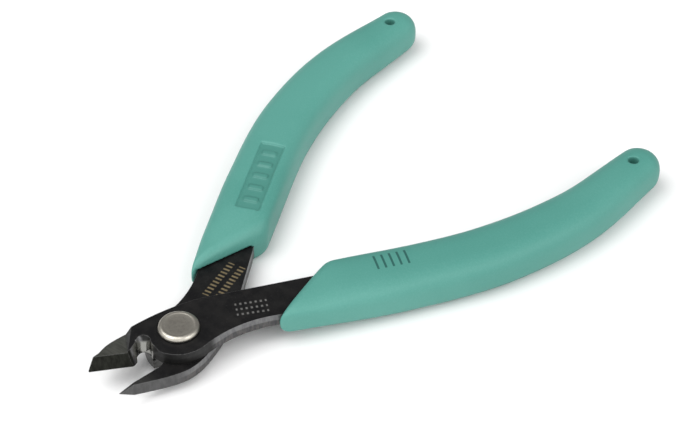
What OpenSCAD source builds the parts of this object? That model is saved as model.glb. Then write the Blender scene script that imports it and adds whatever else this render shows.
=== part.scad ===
// Lapped diagonal cutting pliers, resting half open on their return spring.
// All sizes are millimetres. Inside the modules the pivot axis is at x = y = 0 and the lap plane at z = 0.
// The two halves share one lever shape: the lower one is the upper one turned over about the Y axis.

/* [Plates] */
// Thickness of each steel plate
plate_t = 3.2; // [2.8:0.1:3.6]
// Gap between the two lapped plates
lap_gap = 0.08; // [0.04:0.02:0.2]
// Radius of the round head about the pivot
head_r = 7.85; // [7.6:0.05:8.1]
// Radius of the hollow outer edge between head and grip
waist_r = 28; // [24:1:34]
// Lean of the upper relief notch away from the cutting edge
notch_lean = 35; // [30:1:37]
// Radius of the relief notch
notch_r = 1.65; // [1.3:0.05:1.8]
// Slope of the upper jaw's ground top, falling outwards
top_grind = 11; // [6:1:13]

/* [Pivot] */
// Radius of the domed screw head
cap_r = 4.65; // [4.2:0.05:5]
// Height of the screw head
cap_h = 1.3; // [1:0.1:1.6]
// Radius of the screw's shoulder
shoulder_r = 2.5; // [2.2:0.1:2.8]
// Radial clearance between shoulder and plates
pivot_fit = 0.03; // [0.01:0.01:0.06]
// Radius of the nut and of its washer
nut_r = 4.2; // [3.8:0.1:4.6]
// Height of the nut
nut_h = 1.1; // [0.9:0.1:1.2]
// Thickness of the spring washer
washer_t = 0.3; // [0.2:0.1:0.4]
// Radial clearance between washer and shoulder
washer_fit = 0.1; // [0.05:0.05:0.3]

/* [Return spring] */
// Radius of the spring's loop about the pivot
loop_r = 4.7; // [4.5:0.1:4.9]
// Radius of the spring wire
wire_r = 0.4; // [0.3:0.05:0.45]
// Length of each bent wire end
peg_h = 2.0; // [1.6:0.1:2.4]

/* [Grips] */
// Half height of a grip
grip_h = 5.4; // [5.2:0.1:5.8]
// Half height at the round end of a grip
end_h = 4.9; // [4.6:0.1:5.2]
// Radius of the round end in plan
end_r = 5.3; // [5:0.1:5.6]
// Radius of the lanyard hole
hole_r = 1.25; // [1:0.05:1.4]
// Depth of the sunk panel on the lower grip
panel_depth = 0.6; // [0.5:0.1:0.8]

/* [Hidden] */
$fn = 96;

// Where the pivot stands in the part's own frame: the origin is under the middle of the resting pliers.
pivot_y = 49.1;
pivot_z = grip_h;

face_z = lap_gap / 2;
top_z = face_z + plate_t;
cap_gap = 0.06;
big = 60;

// Centre line of a grip, from its front to the centre of its round end.
grip_line = [[-10.8, -26.9], [-22.8, -46.8], [-33.1, -67.7], [-38.8, -90.1], [-39.2, -113.4]];
// Lever edge that faces the other lever, from the head down to the grip, upper and lower half.
upper_back = [[7.4, 17.0], [8.3, 13.6], [8.3, 9.5], [7.8, 5.0], [6.9, 0.3], [5.5, -4.6],
              [4.0, -8.6], [2.1, -12.0]];
lower_back = [[2.75, 16.2], [4.6, 13.0], [6.7, 9.0], [8.1, 5.0], [8.2, 1.2], [7.4, -2.6],
              [6.0, -6.9], [3.5, -13.2]];
upper_edge_end = [-9.9, -32.0];
lower_edge_end = [-9.2, -32.2];
// Jaw points: tip, inner end of the cutting edge, and the corner where the edge leaves the tip's straight.
upper_tip = [7.1, 20.5];
upper_root = [1.26, 12.66];
lower_tip = [2.5, 20.0];
lower_corner = [2.2, 15.8];
lower_root = [2.9, 9.0];
tip_flat = 0.15;
upper_bevel = 22;
lower_bevel = 8.5;
lower_point = 39;
edge_land = 0.12;
ridge_foot = [2.76, 12.6];
ridge_turn = -38;
// Space over the upper jaw's ground top: y runs towards the tip, and the step to the head leans back.
ground_profile = [[0, 0], [20, 0], [20, 5], [-4.6, 5]];
ground_from = -8;
ground_len = 30;
upper_notch = [1.1, 9.5];
upper_neck = [1.0, 8.4];
lower_notch = [1.1, 8.3];
lower_lean = 12;

// Smooth curve through hand-chosen points, u counting from 0 at the first point.
function blend(a, b, c, d, t) =
    0.5 * (2 * b + (c - a) * t + (2 * a - 5 * b + 4 * c - d) * t * t + (3 * b - a - 3 * c + d) * t * t * t);
function along(pts, u) =
    let (last = len(pts) - 1, i = max(0, min(floor(u), last - 1)))
    let (before = i > 0 ? pts[i - 1] : 2 * pts[0] - pts[1])
    let (after = i + 2 <= last ? pts[i + 2] : 2 * pts[last] - pts[last - 1])
    blend(before, pts[i], pts[i + 1], after, u - i);
function curve(pts, steps) = [for (i = [0:steps]) along(pts, (len(pts) - 1) * i / steps)];
function arc(c, r, a0, a1, steps) =
    [for (i = [0:steps]) let (a = a0 + (a1 - a0) * i / steps) c + r * [cos(a), sin(a)]];
function unit(v) = v / norm(v);
function turned(v) = [-v[1], v[0]];
function heading(a, b) = atan2(b[1] - a[1], b[0] - a[0]);

// Grip measures along its length: s is 0 at the front and 1 at the centre of the round end.
function grip_at(s) = along(grip_line, s * (len(grip_line) - 1));
function grip_dir(s) = unit(grip_at(s + 0.01) - grip_at(s - 0.01));
function grip_side(s) = turned(grip_dir(s));
function grip_w(s) = lookup(s, [[0, 8.3], [0.12, 7.75], [0.3, 7.3], [0.5, 7.15], [0.7, 6.7],
                                [0.88, 6.0], [1, end_r]]);
function grip_top(s) = lookup(s, [[0, grip_h], [0.66, grip_h], [1, end_h]]);
function grip_low(s) = lookup(s, [[-0.15, -2.7], [0, -3.3], [0.12, -4.5], [0.24, -5.2], [0.34, -grip_h],
                                  [0.66, -grip_h], [1, -end_h]]);
function squareness(s) = lookup(s, [[0, 3.2], [0.5, 3], [1, 2.6]]);
function power(v, p) = sign(v) * pow(abs(v), p);

// One ring of the grip's skin: shrink (across), sink (in height) and ahead draw it in over the round end.
ring_sides = 32;
function ring(s, shrink, sink, ahead) =
    let (p = 2 / squareness(s), mid = (grip_top(s) + grip_low(s)) / 2, half = (grip_top(s) - grip_low(s)) / 2)
    let (c = grip_at(s) + ahead * grip_dir(s), side = grip_side(s) * grip_w(s) * shrink)
    [for (j = [0:ring_sides - 1]) let (a = 360 * j / ring_sides, q = c + side * power(cos(a), p))
        [q[0], q[1], mid + half * sink * power(sin(a), p)]];

grip_rings = 26;
front_s = -0.14;
end_angles = [15, 30, 45, 58, 70, 79, 86];

// Solid grip in the upper half's place, still square at its front.
module grip_sweep() {
    body = [for (i = [0:grip_rings]) ring(front_s + (1 - front_s) * i / grip_rings, 1, 1, 0)];
    tail = [for (a = end_angles) ring(1, cos(a), pow(1 - pow(sin(a), 3), 1 / 3), end_r * sin(a))];
    rings = concat(body, tail);
    last = len(rings) - 1;
    points = [for (r = rings) for (p = r) p];
    sides = [for (i = [0:last - 1]) for (j = [0:ring_sides - 1]) let (k = (j + 1) % ring_sides)
        [i * ring_sides + j, (i + 1) * ring_sides + j, (i + 1) * ring_sides + k, i * ring_sides + k]];
    front = [for (j = [0:ring_sides - 1]) j];
    back = [for (j = [ring_sides - 1:-1:0]) last * ring_sides + j];
    polyhedron(points, concat(sides, [front, back]), convexity = 4);
}

// Rounded corner of radius r at b, between the lines to a and to c.
function rounded(a, b, c, r, steps) =
    let (u = unit(a - b), v = unit(c - b), half = acos(u * v) / 2)
    let (o = b + unit(u + v) * r / sin(half), d = r / tan(half))
    let (a0 = heading(o, b + u * d), a1 = heading(o, b + v * d))
    let (sweep = ((a1 - a0 + 540) % 360) - 180)
    arc(o, r, a0, a0 + sweep, steps);

// Plan of the grip's slanted front, with its two rounded corners.
front_outer = [-13.0, -16.0];
front_inner = [-8.3, -36.3];
module grip_front() {
    outer_back = [-41, -56];
    inner_back = [-17, -55];
    polygon(concat([outer_back, [-60, -130], [20, -130], inner_back],
        rounded(inner_back, front_inner, front_outer, 5, 6),
        rounded(front_inner, front_outer, outer_back, 1.4, 8)));
}

// Steel inside the grip: the lever narrows to a tongue with a round end.
tongue_end = 0.82;
tongue_r = 2.4;
function tongue_out(s) = lookup(s, [[-0.05, 5.8], [0.1, 4.6], [0.3, 3.4], [tongue_end, tongue_r]]);
function tongue_in(s) = lookup(s, [[0, 3.5], [0.3, 3.4], [tongue_end, tongue_r]]);
tongue_steps = 16;
function tongue_inner() = [for (i = [1:tongue_steps]) let (s = 0.12 + (tongue_end - 0.12) * i / tongue_steps)
    grip_at(s) + grip_side(s) * tongue_in(s)];
function tongue_outer() = [for (i = [tongue_steps:-1:0])
    let (s = 0.02 + (tongue_end - 0.02) * i / tongue_steps)
    grip_at(s) - grip_side(s) * tongue_out(s)];
function tongue_tip() = let (a = heading([0, 0], grip_side(tongue_end)))
    arc(grip_at(tongue_end), tongue_r, a - 15, a - 165, 10);

// Lever from the back of the jaw down to the tongue and up the hollow outer edge to the head.
waist_at = -(waist_r + head_r) * [cos(3), sin(3)];
function lever_outline(back, edge_end) = concat(curve(back, 42), [edge_end], tongue_inner(), tongue_tip(),
    tongue_outer(), arc(waist_at, waist_r, -37, 3, 20), arc([0, 0], head_r, 182, 93, 30));

module upper_plan() {
    polygon(concat([upper_tip - [0, tip_flat]], lever_outline(upper_back, upper_edge_end),
        [upper_root, upper_tip - [tip_flat, tip_flat]]));
}

module lower_plan() {
    polygon(concat([lower_tip], lever_outline(lower_back, lower_edge_end),
        [lower_root, lower_corner, lower_tip - [tip_flat, 0]]));
}

// A slanted cut: the outline given is swept along an axis that leans by lean degrees towards heading.
cut_len = 16;
module leaning_cut(at, lean, towards) {
    translate([at[0], at[1], 0]) rotate([0, lean, towards]) translate([0, 0, -cut_len / 2])
        linear_extrude(cut_len) children();
}

// Relief beside the pivot: a round notch, flared past the head, and the slanted neck of the upper jaw.
notch_turn = -41;
neck_lean = 32;
neck_turn = -13;
module upper_relief() {
    leaning_cut(upper_notch, notch_lean, notch_turn) {
        circle(r = notch_r);
        polygon(upper_flare);
    }
    leaning_cut(upper_neck, neck_lean, neck_turn) polygon(upper_mouth);
}

module lower_relief() {
    leaning_cut(lower_notch, lower_lean, neck_turn) {
        circle(r = notch_r);
        polygon(lower_mouth);
    }
}

// Space above a bevel that starts at the line from root to tip and leans back by the given angle.
module bevel_cut(root, tip, lean) {
    translate([root[0], root[1], face_z + edge_land]) rotate([0, lean, heading(root, tip) - 90])
        translate([-big, 0, -big / 2]) cube([big, big, big]);
}

// Edges of the cuts around the notches, measured from each cut's own axis and across it.
upper_flare = [[0, 0], [0.71, -1.32], [-0.6, -1.91], [-2.7, -3.38], [-4.2, -3.7], [-3.7, -0.6], [-1.5, 0.6]];
upper_mouth = [[0, 0], [1.1, 1.2], [0.5, 1.6], [-0.35, 3.2], [-0.8, 4.35], [-9, 4.6],
               [-9, -0.9], [-1.55, -0.6]];
lower_mouth = [[0, 0], [1.6, 0.4], [1.55, 1.4], [-9, 4.6], [-9, -0.9], [-1.55, -0.6]];
groove_w = 1.3;
groove_d = 0.6;
peg_fit = 0.08;
upper_peg_a = 200;
lower_peg_a = 235;
// Bore, spring groove and spring peg hole, cut from either plate.
module pivot_cuts(peg_a) {
    translate([0, 0, -1]) cylinder(r = shoulder_r + pivot_fit, h = top_z + 2);
    translate([0, 0, face_z - 1]) difference() {
        cylinder(r = loop_r + groove_w / 2, h = 1 + groove_d);
        cylinder(r = loop_r - groove_w / 2, h = 1 + groove_d);
    }
    rotate([0, 0, peg_a]) translate([loop_r, 0, 0]) cylinder(r = wire_r + peg_fit, h = peg_h + 0.2);
}

// Turns a half over, for the lower lever and its grip.
module turned_over() {
    rotate([0, 180, 0]) children();
}

// Moves the finished pieces so that they rest on z = 0 around the origin.
module placed() {
    translate([0, pivot_y, pivot_z]) children();
}

module upper_steel() {
    difference() {
        translate([0, 0, face_z]) linear_extrude(plate_t) upper_plan();
        bevel_cut(upper_root, upper_tip, upper_bevel);
        translate([ridge_foot[0], ridge_foot[1], top_z]) rotate([0, top_grind, ridge_turn])
            translate([ground_from, 0, 0]) rotate([90, 0, 90]) linear_extrude(ground_len)
            polygon(ground_profile);
        upper_relief();
        pivot_cuts(upper_peg_a);
    }
}

module lower_steel() {
    difference() {
        translate([0, 0, face_z]) linear_extrude(plate_t) lower_plan();
        bevel_cut(lower_root, lower_corner, lower_bevel);
        translate([-big / 2, lower_tip[1], face_z + edge_land]) rotate([-lower_point, 0, 0])
            translate([0, -big / 2, 0]) cube([big, big, big]);
        lower_relief();
        pivot_cuts(180 - lower_peg_a);
    }
}

// Grip in the upper half's place, without its lanyard hole.
module grip_body(back, edge_end, panel) {
    difference() {
        intersection() {
            grip_sweep();
            translate([0, 0, -big / 2]) linear_extrude(big) grip_front();
        }
        translate([0, 0, face_z]) linear_extrude(plate_t) tongue_pocket(back, edge_end);
        front_chamfers();
        if (panel) panel_cut();
        lanyard_hole();
    }
}

// Slopes that lead the skin down to the steel along the slanted front, above and below it.
front_slope = 62;
front_lip = 0.9;
module front_chamfers() {
    across = heading(front_outer, front_inner) + 90;
    translate([front_outer[0], front_outer[1], top_z + front_lip]) rotate([0, 0, across])
        rotate([0, front_slope, 0])
        translate([-big / 2, -big / 2, 0]) cube([big, big, big]);
    translate([front_outer[0], front_outer[1], face_z - front_lip]) rotate([0, 0, across])
        rotate([0, 180 - front_slope, 0])
        translate([-big / 2, -big / 2, 0]) cube([big, big, big]);
}

module tongue_pocket(back, edge_end) {
    polygon(lever_outline(back, edge_end));
}

hole_at = grip_at(1) - 2.2 * grip_dir(1);
module lanyard_hole() {
    translate([hole_at[0], hole_at[1], -big / 2]) cylinder(r = hole_r, h = big);
}

// Sunk panel in the lower grip's upper side: it is cut from below here, before the half is turned over.
panel_size = [5.8, 22.6];
panel_at = [-21.4, -46.7];
panel_turn = -29;
module panel_cut() {
    translate([panel_at[0], panel_at[1], -grip_h - 1]) rotate([0, 0, panel_turn])
        translate([-panel_size[0] / 2, -panel_size[1] / 2, 0])
        cube([panel_size[0], panel_size[1], 1 + panel_depth]);
}

module upper_blade() { color([0.13, 0.13, 0.14]) placed() upper_steel(); }
module lower_blade() { color([0.17, 0.17, 0.18]) placed() turned_over() lower_steel(); }
module upper_grip() { color([0.42, 0.68, 0.64]) placed() grip_body(upper_back, upper_edge_end, false); }
module lower_grip() {
    color([0.42, 0.68, 0.64]) placed() turned_over() grip_body(lower_back, lower_edge_end, true);
}

// Shoulder screw: a flat-topped head with a rounded rim over a plain shank that goes through to the nut.
cap_z = top_z + cap_gap;
nut_z = -top_z - washer_t;
rim_r = 0.7;
foot_bevel = 0.25;
end_bevel = 0.2;
module pivot_screw() {
    profile = concat([[0, nut_z - nut_h], [shoulder_r - end_bevel, nut_z - nut_h],
        [shoulder_r, nut_z - nut_h + end_bevel], [shoulder_r, cap_z], [cap_r - foot_bevel, cap_z],
        [cap_r, cap_z + foot_bevel]],
        arc([cap_r - rim_r, cap_z + cap_h - rim_r], rim_r, 0, 90, 10), [[0, cap_z + cap_h]]);
    color([0.62, 0.6, 0.56]) placed() rotate_extrude() polygon(profile);
}

module pivot_washer() {
    color([0.5, 0.5, 0.48]) placed() translate([0, 0, nut_z]) difference() {
        cylinder(r = nut_r, h = washer_t);
        translate([0, 0, -1]) cylinder(r = shoulder_r + washer_fit, h = washer_t + 2);
    }
}

// Round nut with two blind holes for a pin spanner.
spanner_r = 0.45;
spanner_at = 3.35;
spanner_d = 0.7;
nut_bevel = 0.3;
module pivot_nut() {
    color([0.55, 0.54, 0.5]) placed() translate([0, 0, nut_z - nut_h]) difference() {
        rotate_extrude() polygon([[shoulder_r, 0], [nut_r - nut_bevel, 0], [nut_r, nut_bevel],
            [nut_r, nut_h], [shoulder_r, nut_h]]);
        for (a = [0, 180]) rotate([0, 0, a]) translate([spanner_at, 0, spanner_d - 1])
            cylinder(r = spanner_r, h = 1);
    }
}

// The bend and the bent end are a little thicker than the wire, so that no faces touch edge to edge.
bend_r = wire_r + 0.04;
peg_r = wire_r + 0.02;
module wire_end() {
    sphere(r = bend_r);
    cylinder(r = peg_r, h = peg_h);
}

// Open loop of spring wire in the grooves, with one end bent up and the other bent down.
module return_spring() {
    color([0.7, 0.7, 0.72]) placed() {
        rotate([0, 0, lower_peg_a]) rotate_extrude(angle = 360 + upper_peg_a - lower_peg_a)
            translate([loop_r, 0]) circle(r = wire_r, $fn = 32);
        rotate([0, 0, upper_peg_a]) translate([loop_r, 0, 0]) wire_end();
        rotate([0, 0, lower_peg_a]) translate([loop_r, 0, 0]) mirror([0, 0, 1]) wire_end();
    }
}

upper_blade();
lower_blade();
upper_grip();
lower_grip();
pivot_screw();
pivot_washer();
pivot_nut();
return_spring();
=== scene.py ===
import math

import bmesh
import bpy
import numpy as np
import openvdb
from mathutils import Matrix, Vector


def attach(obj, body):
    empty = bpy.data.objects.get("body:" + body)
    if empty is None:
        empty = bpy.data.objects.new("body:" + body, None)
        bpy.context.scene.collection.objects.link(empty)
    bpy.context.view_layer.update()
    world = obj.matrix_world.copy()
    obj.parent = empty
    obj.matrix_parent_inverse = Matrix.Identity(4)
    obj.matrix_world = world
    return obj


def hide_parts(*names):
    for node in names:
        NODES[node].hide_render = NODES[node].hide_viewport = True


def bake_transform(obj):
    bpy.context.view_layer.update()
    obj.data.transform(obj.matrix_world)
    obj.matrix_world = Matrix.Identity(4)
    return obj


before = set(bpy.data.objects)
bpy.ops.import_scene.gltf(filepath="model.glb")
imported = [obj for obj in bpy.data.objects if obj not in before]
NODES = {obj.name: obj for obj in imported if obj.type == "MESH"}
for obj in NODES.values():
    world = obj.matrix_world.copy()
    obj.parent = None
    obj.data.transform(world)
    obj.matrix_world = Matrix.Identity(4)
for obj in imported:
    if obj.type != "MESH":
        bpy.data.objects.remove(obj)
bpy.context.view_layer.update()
scene = bpy.context.scene

# ---------------------------------------------------------------- the tool's own frame, in millimetres
# The pivot axis is at x = y = 0, the lap plane at z = 0 and the jaws point to +y. The lower half is the upper
# one's shape turned over about the y axis.
MM = 0.001
PIVOT_Y, PIVOT_Z = 49.1, 5.4
FACE_Z, TOP_Z = 0.04, 3.24  # the upper plate's two faces


def place(points, flip=False):
    """Tool frame in mm to the row frame in metres."""
    p = np.array(points, float).reshape(-1, 3)
    if flip:
        p = p * (-1, 1, -1)
    return (p + (0, PIVOT_Y, PIVOT_Z)) * MM


def new_object(name, verts, faces, smooth=True):
    mesh = bpy.data.meshes.new(name)
    mesh.from_pydata([tuple(map(float, v)) for v in verts], [], [tuple(map(int, f)) for f in faces])
    mesh.update()
    if smooth:
        mesh.shade_smooth()
    obj = bpy.data.objects.new(name, mesh)
    scene.collection.objects.link(obj)
    return obj


def face_outwards(obj, merge=0.0):
    """Turns every face outwards, after joining points closer than merge metres."""
    bm = bmesh.new()
    bm.from_mesh(obj.data)
    if merge:
        bmesh.ops.remove_doubles(bm, verts=bm.verts, dist=merge)
    bmesh.ops.recalc_face_normals(bm, faces=bm.faces)
    bm.to_mesh(obj.data)
    bm.free()
    obj.data.shade_smooth()


def soften(obj, width, angle, weld=True):
    """Rounds the edges of obj that turn by more than angle degrees, over width metres."""
    if weld:
        obj.modifiers.new("weld", "WELD").merge_threshold = 1e-6
    bevel = obj.modifiers.new("bevel", "BEVEL")
    bevel.width, bevel.segments = width, 2
    bevel.limit_method, bevel.angle_limit = "ANGLE", math.radians(angle)


def paint(obj, graph):
    obj.data.materials.clear()
    obj.data.materials.append(graph.mat)


# ---------------------------------------------------------------- materials
class Graph:
    """A node material, with short calls for the nodes used here."""

    def __init__(self, name):
        self.mat = bpy.data.materials.new(name)
        self.mat.use_nodes = True
        self.tree = self.mat.node_tree
        self.tree.nodes.clear()
        self.out = self.tree.nodes.new("ShaderNodeOutputMaterial")
        self.bsdf = self.tree.nodes.new("ShaderNodeBsdfPrincipled")
        self.tree.links.new(self.bsdf.outputs[0], self.out.inputs[0])
        self.coord = self.tree.nodes.new("ShaderNodeTexCoord").outputs["Object"]

    def put(self, node, key, value):
        sock = node.inputs[key]
        if isinstance(value, bpy.types.NodeSocket):
            self.tree.links.new(value, sock)
        elif value is not None:
            sock.default_value = value

    def node(self, kind, out=0, props=(), **inputs):
        n = self.tree.nodes.new(kind)
        for k, v in dict(props).items():
            setattr(n, k, v)
        for k, v in inputs.items():
            self.put(n, k.replace("_", " "), v)
        return n.outputs[out]

    def math(self, op, a, b=0.0, c=0.0, clamp=False):
        n = self.tree.nodes.new("ShaderNodeMath")
        n.operation, n.use_clamp = op, clamp
        for i, v in enumerate((a, b, c)):
            self.put(n, i, v)
        return n.outputs[0]

    def noise(self, scale, detail=3.0, rough=0.5, vector=None):
        return self.node("ShaderNodeTexNoise", 0, Vector=vector or self.coord, Scale=scale, Detail=detail,
                         Roughness=rough)

    def stretch(self, x, y, z, turn=0.0):
        n = self.tree.nodes.new("ShaderNodeMapping")
        n.inputs["Scale"].default_value = (x, y, z)
        n.inputs["Rotation"].default_value = (0, 0, math.radians(turn))
        self.put(n, "Vector", self.coord)
        return n.outputs[0]

    def ramp(self, value, lo, hi, to_lo=0.0, to_hi=1.0):
        n = self.tree.nodes.new("ShaderNodeMapRange")
        n.interpolation_type = "SMOOTHSTEP"
        for k, v in zip(("Value", "From Min", "From Max", "To Min", "To Max"), (value, lo, hi, to_lo, to_hi)):
            self.put(n, k, v)
        return n.outputs[0]

    def mix(self, factor, a, b):
        n = self.tree.nodes.new("ShaderNodeMix")
        n.data_type = "RGBA"
        self.put(n, 0, factor)
        for i, v in ((6, a), (7, b)):
            self.put(n, i, v)
        return n.outputs[2]

    def xyz(self, vector=None):
        n = self.tree.nodes.new("ShaderNodeSeparateXYZ")
        self.put(n, 0, vector or self.coord)
        return n.outputs

    def bump(self, height, distance, strength=1.0, normal=None):
        return self.node("ShaderNodeBump", 0, Height=height, Distance=distance, Strength=strength,
                         Normal=normal)

    def plane(self, at, heading, soft=0.2):
        """1 to the left of the line through `at` with that heading, 0 to its right."""
        return self.ramp(self.along(at, heading)[1], -soft / 2, soft / 2)

    def along(self, at, heading):
        """(u, v) in mm: along the given heading and to its left, measured from `at` in the tool's frame."""
        x, y, _ = self.xyz()
        cos, sin = math.cos(math.radians(heading)), math.sin(math.radians(heading))
        ax, ay = at[0], at[1] + PIVOT_Y
        u = self.math("MULTIPLY_ADD", x, cos / MM, self.math("MULTIPLY", y, sin / MM))
        v = self.math("MULTIPLY_ADD", x, -sin / MM, self.math("MULTIPLY", y, cos / MM))
        return (self.math("SUBTRACT", u, ax * cos + ay * sin),
                self.math("SUBTRACT", v, ay * cos - ax * sin))

    def radius(self, at):
        """Distance in mm from a vertical axis through `at`."""
        u, v = self.along(at, 0)
        return self.math("SQRT", self.math("ADD", self.math("MULTIPLY", u, u), self.math("MULTIPLY", v, v)))

    def bar(self, value, half, soft=0.06):
        """1 where |value| is under half, with a soft edge."""
        return self.ramp(self.math("ABSOLUTE", value), half - soft, half + soft, 1.0, 0.0)

    def repeat(self, value, pitch):
        """Distance from the nearest multiple of pitch."""
        return self.math("PINGPONG", value, pitch / 2)

    def every(self, *masks):
        out = masks[0]
        for m in masks[1:]:
            out = self.math("MULTIPLY", out, m)
        return out

    def edges(self, radius):
        """(mask, normal): 1 near a convex or hollow edge, and the normal as if the edge were rounded."""
        soft = self.node("ShaderNodeBevel", 0, (("samples", 6),), Radius=radius)
        true = self.node("ShaderNodeNewGeometry", 1)
        dot = self.node("ShaderNodeVectorMath", 1, (("operation", "DOT_PRODUCT"),))
        self.put(dot.node, 0, soft)
        self.put(dot.node, 1, true)
        return self.ramp(dot, 0.995, 0.9), soft


def srgb(r, g, b):
    """8-bit screen colour, brighter than 10 in each channel, as a linear one."""
    return tuple(((c / 255 + 0.055) / 1.055) ** 2.4 for c in (r, g, b)) + (1.0,)


def grey(level):
    return (level, level, level, 1)


def shade(colour, factor):
    return tuple(factor * c for c in colour[:3]) + (1,)


UPPER_SIDE = (0.0085, 0.0088)  # heights between which a grip's print bars or its painted panel shade appear, in metres


def grip_material(name, base, dark, printed):
    """Matte plastic. The printed one has five plain bars; the other has painted shade over its sunk panel."""
    g = Graph(name)
    cloud = g.noise(35, 2, 0.5)
    fine = g.noise(2600, 2, 0.6)
    grain = g.noise(5200, 1, 0.5)
    colour = g.mix(g.ramp(cloud, 0.3, 0.7), dark, base)
    colour = g.mix(g.ramp(fine, 0.35, 0.75, 0.0, 0.08), colour, (0.24, 0.48, 0.43, 1))
    if printed:
        u, v = g.along((-20.6, -46.4), -121)
        bars = g.every(g.bar(u, 4.1), g.bar(v, 2.3), g.bar(g.repeat(u, 1.8), 0.26),
                       g.ramp(g.xyz()[2], *UPPER_SIDE))
        colour = g.mix(g.math("MULTIPLY", bars, 0.9), colour, (0.012, 0.075, 0.065, 1))
    else:
        # painted shade: the sunk panel is darkened towards a deeper green, as if shaded in its recess
        u, v = g.along((-PANEL_AT[0], PANEL_AT[1]), -PANEL_TURN)
        panel = g.every(g.bar(u, 2.75, 0.1), g.bar(v, 11.05, 0.1), g.ramp(g.xyz()[2], *UPPER_SIDE))
        colour = g.mix(g.math("MULTIPLY", panel, 0.55), colour, shade(dark, 0.72))
    g.put(g.bsdf, "Base Color", colour)
    g.put(g.bsdf, "Roughness", g.ramp(fine, 0.3, 0.7, 0.44, 0.56))
    g.put(g.bsdf, "Specular IOR Level", 0.4)
    low = g.bump(g.noise(420, 2, 0.5), 0.00005, 0.3)
    g.put(g.bsdf, "Normal", g.bump(grain, 0.00003, 0.5, low))
    return g


# ---------------------------------------------------------------- grips
LINE = np.array([(-10.8, -26.9), (-22.8, -46.8), (-33.1, -67.7), (-38.8, -90.1), (-39.2, -113.4)])
FRONT_OUTER, FRONT_INNER = np.array((-13.0, -16.0)), np.array((-8.3, -36.3))
OUTER_BACK, INNER_BACK = np.array((-41.0, -56.0)), np.array((-17.0, -55.0))
FRONT_LEAN, FRONT_LIP = math.radians(62), 0.9
STEEL_INNER = np.array((-9.9, -32.0)), np.array((2.1, -12.0))
STEEL_OUTER = np.array((-13.44, -18.73)), np.array((-16.7, -25.5))
STEEL_GAP, STEEL_GAP_Z, STEEL_GAP_DEPTH = 0.2, 0.22, 1.0
# Along the grip, s is 0 at its front and 1 at the centre of its round end.
HALF_WIDTH = [(0, 8.3), (0.12, 7.75), (0.3, 7.3), (0.5, 7.15), (0.7, 6.7), (0.88, 6.0), (1, 5.3)]
TOP = [(0, 5.4), (0.66, 5.4), (1, 4.9)]
BOTTOM = [(-0.15, -2.7), (0, -3.3), (0.12, -4.5), (0.24, -5.2), (0.34, -5.4), (0.66, -5.4), (1, -4.9)]
SQUARENESS = [(0, 3.2), (0.5, 3.0), (1, 2.6)]
HOLE_AT, HOLE_R = (-39.16, -111.2), 1.25
PANEL_AT, PANEL_TURN, PANEL_HALF, PANEL_DEPTH = (-21.4, -46.7), -29, (2.9, 11.2), 0.55
RIB_HALF, RIB_PITCH, RIB_TOP, RIB_FOOT = (1.75, 0.75), 4.0, 0.18, 1.2
GRID_LOW, GRID_HIGH = np.array((-47.5, -121.0, -6.4)), np.array((-2.5, -13.0, 6.4))
FIELD_LIMIT = 8.0  # distances are clipped to this, well past any shape that is cut


def spine(u):
    """Catmull-Rom through LINE, u counting from 0 at its first point."""
    ends = np.vstack((2 * LINE[0] - LINE[1], LINE, 2 * LINE[-1] - LINE[-2]))
    i = np.clip(np.floor(u).astype(int), 0, len(LINE) - 2)
    t = (u - i)[:, None]
    a, b, c, d = ends[i], ends[i + 1], ends[i + 2], ends[i + 3]
    return 0.5 * (2 * b + (c - a) * t + (2 * a - 5 * b + 4 * c - d) * t**2 + (3 * b - a - 3 * c + d) * t**3)


def lookup(s, table):
    xs, ys = zip(*table)
    return np.interp(s, xs, ys)


def right_of(x, y, a, b):
    """Distance to the right of the line from a to b."""
    d = (b - a) / np.linalg.norm(b - a)
    return (x - a[0]) * d[1] - (y - a[1]) * d[0]


def round_max(a, b, r):
    """Intersection of two distance fields whose common edge is rounded by r."""
    return np.minimum(-r, np.maximum(a, b)) + np.hypot(np.maximum(a + r, 0), np.maximum(b + r, 0))


def nearest_on_spine(x, y):
    """For each point: its place s along the grip, and its distance from the grip's centre line."""
    s_line = np.linspace(-0.25, 1, 700)
    line = spine(s_line * (len(LINE) - 1))
    heading = np.gradient(line, axis=0)
    speed = np.linalg.norm(heading, axis=1) / (s_line[1] - s_line[0])
    heading /= np.linalg.norm(heading, axis=1)[:, None]
    points = np.stack((x.ravel(), y.ravel()), 1)
    near = np.concatenate([np.argmin(((part[:, None] - line[None]) ** 2).sum(2), 1)
                           for part in np.array_split(points, 60)])
    off = points - line[near]
    step = (off * heading[near]).sum(1)
    s = np.clip(s_line[near] + step / speed[near], -0.3, 1)
    past = np.where(near == len(s_line) - 1, np.maximum(step, 0), 0)
    side = off[:, 1] * heading[near][:, 0] - off[:, 0] * heading[near][:, 1]
    return s.reshape(x.shape), np.hypot(side, past).reshape(x.shape)


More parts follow.
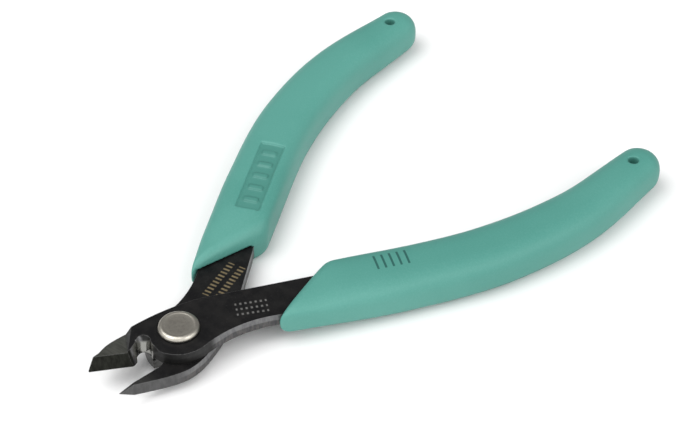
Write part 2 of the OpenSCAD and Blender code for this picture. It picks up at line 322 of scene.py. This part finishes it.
def grip_mesh(name, voxel, lower, setback):
    """A grip's skin, meshed from its distance field. The front is cut back by setback."""
    count = np.ceil((GRID_HIGH - GRID_LOW) / voxel).astype(int)
    xs, ys, zs = (GRID_LOW[k] + voxel * np.arange(count[k]) for k in range(3))
    X, Y = np.meshgrid(xs, ys, indexing="ij")
    Z = zs[None, None, :]
    s, across = nearest_on_spine(X, Y)
    half_width, top, bottom, power = (lookup(s, t)[:, :, None] for t in (HALF_WIDTH, TOP, BOTTOM, SQUARENESS))
    half, mid = (top - bottom) / 2, (top + bottom) / 2
    skin = ((across[:, :, None] / half_width) ** power + (np.abs(Z - mid) / half) ** power) ** (1 / power) - 1
    skin = skin * half

    # the slanted front, seen from above, then its slopes down to the steel
    front = right_of(X, Y, FRONT_INNER, FRONT_OUTER)[:, :, None]
    inner = right_of(X, Y, INNER_BACK, FRONT_INNER)[:, :, None]
    outer = right_of(X, Y, FRONT_OUTER, OUTER_BACK)[:, :, None]
    inner = inner - np.maximum(INNER_BACK[1] - Y, 0)[:, :, None]
    front = front + setback
    f = round_max(skin, inner, 2.0)
    f = round_max(f, outer - 0.35, 0.8)
    for above in (Z - TOP_Z - FRONT_LIP, FACE_Z - FRONT_LIP - Z):
        f = round_max(f, above * math.cos(FRONT_LEAN) + front * math.sin(FRONT_LEAN), 1.3)
    f = round_max(f, front, 0.7)

    # a narrow open line round the steel, where the skin stops
    steel_in = right_of(X, Y, *STEEL_INNER)[:, :, None]
    steel_out = right_of(X, Y, *STEEL_OUTER)[:, :, None]
    slot = np.maximum(np.maximum(steel_in, steel_out) - STEEL_GAP,
                      np.abs(Z - (TOP_Z + FACE_Z) / 2) - (TOP_Z - FACE_Z) / 2 - STEEL_GAP_Z)
    f = round_max(f, -np.maximum(slot, -front - STEEL_GAP_DEPTH), 0.2)

    if lower:  # sunk panel with a row of plain ribs; the panel's side looks up once the half is turned over
        cos, sin = math.cos(math.radians(PANEL_TURN)), math.sin(math.radians(PANEL_TURN))
        u = ((X - PANEL_AT[0]) * cos + (Y - PANEL_AT[1]) * sin)[:, :, None]
        v = (-(X - PANEL_AT[0]) * sin + (Y - PANEL_AT[1]) * cos)[:, :, None]
        sunk = np.maximum(round_max(np.abs(u) - PANEL_HALF[0], np.abs(v) - PANEL_HALF[1], 0.3),
                          np.maximum(-skin - PANEL_DEPTH, Z))
        f = round_max(f, -sunk, 0.1)
        for k in range(-2, 3):
            rib = np.maximum(round_max(np.abs(u) - RIB_HALF[0], np.abs(v - RIB_PITCH * k) - RIB_HALF[1], 0.35),
                             np.maximum(np.maximum(skin + RIB_TOP, -skin - RIB_FOOT), Z))
            f = np.minimum(f, rib)
    hole = np.hypot(X - HOLE_AT[0], Y - HOLE_AT[1])[:, :, None] - HOLE_R
    f = round_max(f, -hole, 0.3)

    grid = openvdb.FloatGrid(FIELD_LIMIT)
    field = np.clip(f, -FIELD_LIMIT, FIELD_LIMIT)
    grid.copyFromArray(np.ascontiguousarray(field, dtype=np.float32), tolerance=0)
    points, quads = grid.convertToQuads(0.0)
    obj = new_object(name, place(np.array(points) * voxel + GRID_LOW, lower), np.array(quads)[:, ::-1])
    face_outwards(obj)
    relax = obj.modifiers.new("relax", "SMOOTH")
    relax.factor, relax.iterations = 0.5, 3
    return obj


VOXEL = 0.25
upper_grip = grip_mesh("upper_grip_skin", VOXEL, False, 1.0)
lower_grip = grip_mesh("lower_grip_skin", VOXEL, True, -0.1)
GRIP, GRIP_DARK = srgb(78, 142, 131), srgb(69, 134, 123)
plain_green = grip_material("green_grip_skin", GRIP, GRIP_DARK, False)
printed_green = grip_material("green_grip_skin_printed", GRIP, GRIP_DARK, True)
for piece, look, node, body in ((upper_grip, printed_green, "upper_grip", "upper_half"),
                                (lower_grip, plain_green, "lower_grip", "lower_half")):
    paint(piece, look)
    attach(piece, body)
    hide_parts(node)

# ---------------------------------------------------------------- steel
HEAD_RIM, LEVER_RIM = 8.0, 8.9  # radii in mm between which the painted shade on the upper head's rim fades out
SHEAR_BAND = (1.55, 1.85)  # heights in mm between which a stamped side turns from torn to sheared


def steel_material(name, upper):
    """Black oxide faces with plain etched ticks, stamped grey sides in two bands, a ground jaw and a notch."""
    g = Graph(name)
    normal = g.node("ShaderNodeNewGeometry", 1)
    flat = g.ramp(g.math("ABSOLUTE", g.xyz(normal)[2]), 0.6, 0.67)
    height = g.math("SUBTRACT", g.math("MULTIPLY", g.xyz()[2], 1 / MM), PIVOT_Z)
    mottle = g.noise(300, 5, 0.65)
    speck = g.noise(2200, 3, 0.6)
    painted_edge_highlight, rounded = g.edges(0.00022)

    black = g.mix(g.ramp(mottle, 0.35, 0.7), (0.0035, 0.0035, 0.004, 1), (0.0085, 0.008, 0.0078, 1))
    black = g.mix(g.ramp(speck, 0.55, 0.72, 0, 0.35), black, grey(0.03))
    if upper:
        jaw = g.plane((2.76, 12.6), -38, 0.5)
        scratch_turn, ground_tone = 38, ((0.028, 0.029, 0.024, 1), (0.055, 0.056, 0.049, 1))
        jaw_side = g.plane((1.3, 12.0), -13, 0.6)
        side_tone = (0.008, 0.0085, 0.0065, 1), (0.02, 0.021, 0.017, 1)
        notch_at, notch_r, notch_tone = (2.0, 8.8), 2.1, (0.26, 0.26, 0.245, 1)
        marks_at, marks_turn, marks_half, marks_tone = (-7.1, -15.5), -124.8, (3.6, 2.3), (0.13, 0.13, 0.125, 1)
        row_pitch, row_half = 1.6, 0.3
    else:
        jaw = g.plane((0, 11.5), 0, 3.5)
        scratch_turn, ground_tone = 110, ((0.010, 0.010, 0.0097, 1), (0.025, 0.025, 0.024, 1))
        jaw_side = g.plane((0, 6.0), 0, 6.0)
        side_tone = grey(0.075), grey(0.10)
        notch_at, notch_r, notch_tone = (-1.1, 8.3), 2.6, (0.1, 0.1, 0.097, 1)
        marks_at, marks_turn, marks_half, marks_tone = (5.9, -19.4), -75.4, (5.8, 2.6), (0.17, 0.135, 0.075, 1)
        row_pitch, row_half = 2.9, 0.8
    scratch = g.noise(1300, 4, 0.6, g.stretch(0.06, 1.0, 1.0, scratch_turn))
    faces = g.mix(jaw, black, g.mix(g.ramp(scratch, 0.3, 0.7), *ground_tone))
    u, v = g.along(marks_at, marks_turn)
    marks = g.every(g.bar(u, marks_half[0]), g.bar(v, marks_half[1]), g.bar(g.repeat(u, 1.15), 0.24, 0.1),
                    g.bar(g.repeat(g.math("ADD", v, 1.45), row_pitch), row_half, 0.1),
                    g.ramp(speck, 0.3, 0.55, 0.55, 0.95), g.ramp(g.xyz(normal)[2], 0.8, 0.9))
    faces = g.mix(marks, faces, marks_tone)

    level = height if upper else g.math("ADD", height, TOP_Z + FACE_Z)
    wave = g.ramp(g.noise(180, 2), 0.3, 0.7, -0.15, 0.15)
    tear = g.noise(1500, 3, 0.6, g.stretch(1.0, 1.0, 0.3))
    sheared = g.mix(g.ramp(tear, 0.3, 0.7), (0.13, 0.13, 0.135, 1), grey(0.19))
    torn = g.mix(g.ramp(tear, 0.3, 0.7), (0.055, 0.055, 0.06, 1), (0.11, 0.105, 0.10, 1))
    side = g.mix(g.ramp(g.math("ADD", level, wave), *SHEAR_BAND), torn, sheared)
    if upper:  # painted shade: the upper head's rim is darkened almost to black
        head = g.ramp(g.radius((0, 0)), HEAD_RIM, LEVER_RIM, 0.9, 0.0)
        side = g.mix(head, side, (0.012, 0.012, 0.0115, 1))
    side = g.mix(jaw_side, side, g.mix(g.ramp(tear, 0.3, 0.7), *side_tone))
    polished = g.every(g.ramp(g.radius(notch_at), notch_r, notch_r + 0.4, 1.0, 0.0),
                       g.math("SUBTRACT", 1.0, flat))
    side = g.mix(polished, side, notch_tone)

    colour = g.mix(flat, side, faces)
    # painted highlight: a lighter grey along the edges, broken up by specks
    colour = g.mix(g.every(painted_edge_highlight, g.ramp(speck, 0.35, 0.6, 0.15, 0.6)), colour, grey(0.16))
    g.put(g.bsdf, "Base Color", colour)
    bare = g.math("ADD", g.ramp(flat, 0, 1, 0.7, 0.0), g.math("MULTIPLY", polished, 0.3), clamp=True)
    g.put(g.bsdf, "Metallic", bare)
    rough = g.ramp(mottle, 0.3, 0.7, 0.36, 0.5)
    g.put(g.bsdf, "Roughness", g.math("SUBTRACT", rough, g.math("MULTIPLY", polished, 0.24)))
    g.put(g.bsdf, "Specular IOR Level", 0.2)
    first = g.bump(g.math("MULTIPLY", scratch, jaw), 0.00003, 0.5, rounded)
    g.put(g.bsdf, "Normal", g.bump(speck, 0.000012, 0.4, first))
    return g


for node, name, upper in (("upper_blade", "upper_black_steel", True),
                          ("lower_blade", "lower_black_steel", False)):
    paint(NODES[node], steel_material(name, upper))
    soften(NODES[node], 0.00012, 25)

# ---------------------------------------------------------------- pivot
def lathe(name, profile, steps=128):
    """Turns (radius, z) points in mm about the pivot axis."""
    verts, faces = [], []
    n = len(profile)
    for i in range(steps):
        a = 2 * math.pi * i / steps
        verts += [(r * math.cos(a), r * math.sin(a), z) for r, z in profile]
    for i in range(steps):
        j = (i + 1) % steps
        for k in range(n - 1):
            faces.append((i * n + k, j * n + k, j * n + k + 1, i * n + k + 1))
    obj = new_object(name, place(verts), faces)
    face_outwards(obj, 1e-7)
    return obj


def turned_metal(name, tint):
    """Satin metal with fine turned rings about the pivot axis and a duller middle."""
    g = Graph(name)
    x, y, _ = g.xyz()
    r = g.math("SQRT", g.math("ADD", g.math("MULTIPLY", x, x),
                              g.math("POWER", g.math("SUBTRACT", y, PIVOT_Y * MM), 2.0)))
    rings = g.node("ShaderNodeTexNoise", 0, (("noise_dimensions", "1D"),), W=r, Scale=9000.0, Detail=3.0)
    mottle = g.noise(700, 4, 0.65)
    core = g.ramp(r, 0.0022, 0.0034, 1.0, 0.0)
    colour = g.mix(g.ramp(mottle, 0.35, 0.7), tint, shade(tint, 0.8))
    dull = g.math("MULTIPLY", core, g.ramp(mottle, 0.4, 0.65, 0.15, 0.5))
    g.put(g.bsdf, "Base Color", g.mix(dull, colour, (0.2, 0.18, 0.16, 1)))
    g.put(g.bsdf, "Metallic", 1.0)
    g.put(g.bsdf, "Roughness", g.ramp(mottle, 0.3, 0.7, 0.3, 0.42))
    g.put(g.bsdf, "Normal", g.bump(rings, 0.000012, 0.5))
    return g


# The screw, from the middle of its lower end up to the middle of its slightly dished head.
CAP_R, CAP_Z, CAP_TOP = 4.65, TOP_Z + 0.06, TOP_Z + 0.06 + 1.3
SHANK_R, SHANK_END, SHANK_BEVEL = 2.5, -TOP_Z - 0.3 - 1.1, 0.2
RIM_IN, RIM_DROP, DISH, AXIS_R = 3.7, 0.95, 0.06, 0.001
rim = [(RIM_IN + (CAP_R - RIM_IN) * math.sin(a), CAP_TOP - RIM_DROP * (1 - math.cos(a)))
       for a in np.radians(np.linspace(90, 0, 16))]
screw = lathe("pivot_screw_turned", [
    (AXIS_R, SHANK_END), (SHANK_R - SHANK_BEVEL, SHANK_END), (SHANK_R, SHANK_END + SHANK_BEVEL),
    (SHANK_R, CAP_Z), (CAP_R - 0.25, CAP_Z), (CAP_R - 0.05, CAP_Z + 0.12), *rim,
    (RIM_IN - 0.15, CAP_TOP - 0.01), (RIM_IN - 0.3, CAP_TOP - 0.05), (RIM_IN - 0.45, CAP_TOP - DISH),
    (AXIS_R, CAP_TOP - DISH)])
paint(screw, turned_metal("satin_nickel_turned", (0.52, 0.495, 0.435, 1)))
soften(screw, 0.00006, 40, weld=False)
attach(screw, "lower_half")
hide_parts("pivot_screw")

nut_metal = turned_metal("satin_nickel_nut", (0.42, 0.41, 0.38, 1))
for node in ("pivot_washer", "pivot_nut"):
    paint(NODES[node], nut_metal)
    soften(NODES[node], 0.00006, 30)

# The spring's two ends stay in their own plates; the wire drawn here is a plain copy of the spring part's mesh.
spring = bpy.data.objects.new("return_spring_wire", NODES["return_spring"].data.copy())
scene.collection.objects.link(spring)
paint(spring, turned_metal("drawn_spring_wire", (0.55, 0.55, 0.56, 1)))
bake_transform(spring)
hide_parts("return_spring")

# ---------------------------------------------------------------- floor, light, camera
FLOOR = 3.0
corners = [(-FLOOR, -FLOOR, 0), (FLOOR, -FLOOR, 0), (FLOOR, FLOOR, 0), (-FLOOR, FLOOR, 0)]
floor = new_object("floor", corners, [(0, 1, 2, 3)], False)
paper = Graph("pale_floor")
paper.put(paper.bsdf, "Base Color", paper.mix(paper.noise(30, 2), grey(0.86), grey(0.88)))
paper.put(paper.bsdf, "Roughness", 0.9)
paint(floor, paper)

world = bpy.data.worlds.new("studio")
scene.world = world
world.use_nodes = True
sky = world.node_tree  # softly brighter on one side, as in a small studio with one white wall
wall = sky.nodes.new("ShaderNodeVectorMath")
wall.operation = "DOT_PRODUCT"
wall.inputs[1].default_value = (-0.685, 0.728, 0.0)
sky.links.new(sky.nodes.new("ShaderNodeTexCoord").outputs["Generated"], wall.inputs[0])
level = sky.nodes.new("ShaderNodeMapRange")
level.interpolation_type = "SMOOTHSTEP"
for key, value in (("From Min", -0.5), ("From Max", 0.6), ("To Min", 0.26), ("To Max", 1.35)):
    level.inputs[key].default_value = value
sky.links.new(wall.outputs["Value"], level.inputs["Value"])
sky.links.new(level.outputs[0], sky.nodes["Background"].inputs[1])
sky.nodes["Background"].inputs[0].default_value = (1, 1, 1, 1)


def aimed(name, data, at, target):
    """A light or camera at one point that looks at another."""
    o = bpy.data.objects.new(name, data)
    o.location = at
    o.rotation_euler = (Vector(target) - Vector(at)).to_track_quat("-Z", "Y").to_euler()
    scene.collection.objects.link(o)
    return o


for name, at, power in (("key", (0.25, 0.3, 0.85), 5.5), ("fill", (-0.75, -0.2, 0.7), 2.5)):
    light = bpy.data.lights.new(name, "AREA")
    light.shape, light.size, light.energy = "DISK", 0.8, power
    aimed(name, light, at, (0, 0, 0))

camera = aimed("camera", bpy.data.cameras.new("camera"),
               (-0.2490, 0.2592, 0.3415), (-0.0019, -0.0036, 0.0054))
scene.camera = camera
camera.data.lens, camera.data.sensor_width = 108.9, 36
camera.data.clip_start, camera.data.clip_end = 0.01, 20
scene.view_settings.view_transform = "Standard"
scene.view_settings.look = "None"
